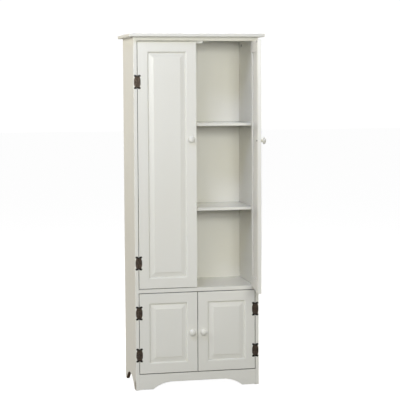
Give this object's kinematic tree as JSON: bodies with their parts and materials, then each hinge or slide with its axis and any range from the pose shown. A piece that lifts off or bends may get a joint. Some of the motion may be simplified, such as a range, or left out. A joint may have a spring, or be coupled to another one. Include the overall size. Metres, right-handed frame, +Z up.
{
  "type": "storage cabinet",
  "caption": "Tall painted storage cabinet with an overhanging top, framed raised-panel doors above and below, loose shelves, arched feet and small bronze surface hinges.",
  "frame": {"origin": "on the floor, at the middle of the case's footprint, which leaves out the top's overhang and the open door", "axes": "+X to the right as seen from the front, +Y to the back, +Z up"},
  "size_m": [0.705, 0.644, 1.829],
  "materials": {
    "painted_board": "satin antique-white paint on fibreboard",
    "painted_door": "satin antique-white paint on fibreboard",
    "hardboard": "thin hardboard, painted inside and raw brown outside",
    "knob_paint": "satin paint on turned wood",
    "bronze": "dark antique bronze, rubbed on its high spots",
    "steel": "zinc-plated",
    "plastic": "moulded off-white",
    "bare_wood": "bare beech"
  },
  "bodies": {
    "case": {"left_side_panel": "painted_board", "right_side_panel": "painted_board", "top_board": "painted_board", "top_rail": "painted_board", "middle_shelf": "painted_board", "bottom_shelf": "painted_board", "apron": "painted_board", "upper_back_panel": "hardboard", "lower_back_panel": "hardboard", "back_nails": "steel", "lower_shelf": "painted_board", "center_shelf": "painted_board", "upper_shelf": "painted_board", "shelf_pins": "steel", "foot_glides": "plastic", "cam_locks": "steel", "cam_bolts": "steel", "dowels": "bare_wood", "catches": "plastic", "catch_magnets": "steel", "left_frame_leaves": "bronze", "right_frame_leaves": "bronze", "hinge_pins": "bronze", "case_screws": "bronze"},
    "upper_left_door": {"upper_left_hinge_stile": "painted_door", "upper_left_lock_stile": "painted_door", "upper_left_top_rail": "painted_door", "upper_left_bottom_rail": "painted_door", "upper_left_panel": "painted_door", "upper_left_knob": "knob_paint", "upper_left_hinge_leaves": "bronze", "upper_left_strike": "steel", "upper_left_screws": "bronze"},
    "upper_right_door": {"upper_right_hinge_stile": "painted_door", "upper_right_lock_stile": "painted_door", "upper_right_top_rail": "painted_door", "upper_right_bottom_rail": "painted_door", "upper_right_panel": "painted_door", "upper_right_knob": "knob_paint", "upper_right_hinge_leaves": "bronze", "upper_right_strike": "steel", "upper_right_screws": "bronze"},
    "lower_left_door": {"lower_left_hinge_stile": "painted_door", "lower_left_lock_stile": "painted_door", "lower_left_top_rail": "painted_door", "lower_left_bottom_rail": "painted_door", "lower_left_panel": "painted_door", "lower_left_knob": "knob_paint", "lower_left_hinge_leaves": "bronze", "lower_left_strike": "steel", "lower_left_screws": "bronze"},
    "lower_right_door": {"lower_right_hinge_stile": "painted_door", "lower_right_lock_stile": "painted_door", "lower_right_top_rail": "painted_door", "lower_right_bottom_rail": "painted_door", "lower_right_panel": "painted_door", "lower_right_knob": "knob_paint", "lower_right_hinge_leaves": "bronze", "lower_right_strike": "steel", "lower_right_screws": "bronze"}
  },
  "joints": [
    {"name": "upper_left_swing", "type": "hinge", "parent": "case", "child": "upper_left_door", "pos_m": [-0.306, -0.173, 1.124], "axis": [0, 0, -1], "range_deg": [0, 180]},
    {"name": "upper_right_swing", "type": "hinge", "parent": "case", "child": "upper_right_door", "pos_m": [0.306, -0.173, 1.124], "axis": [0, 0, 1], "range_deg": [-82, 98]},
    {"name": "lower_left_swing", "type": "hinge", "parent": "case", "child": "lower_left_door", "pos_m": [-0.306, -0.173, 0.29575], "axis": [0, 0, -1], "range_deg": [0, 180]},
    {"name": "lower_right_swing", "type": "hinge", "parent": "case", "child": "lower_right_door", "pos_m": [0.306, -0.173, 0.29575], "axis": [0, 0, 1], "range_deg": [0, 180]}
  ]
}
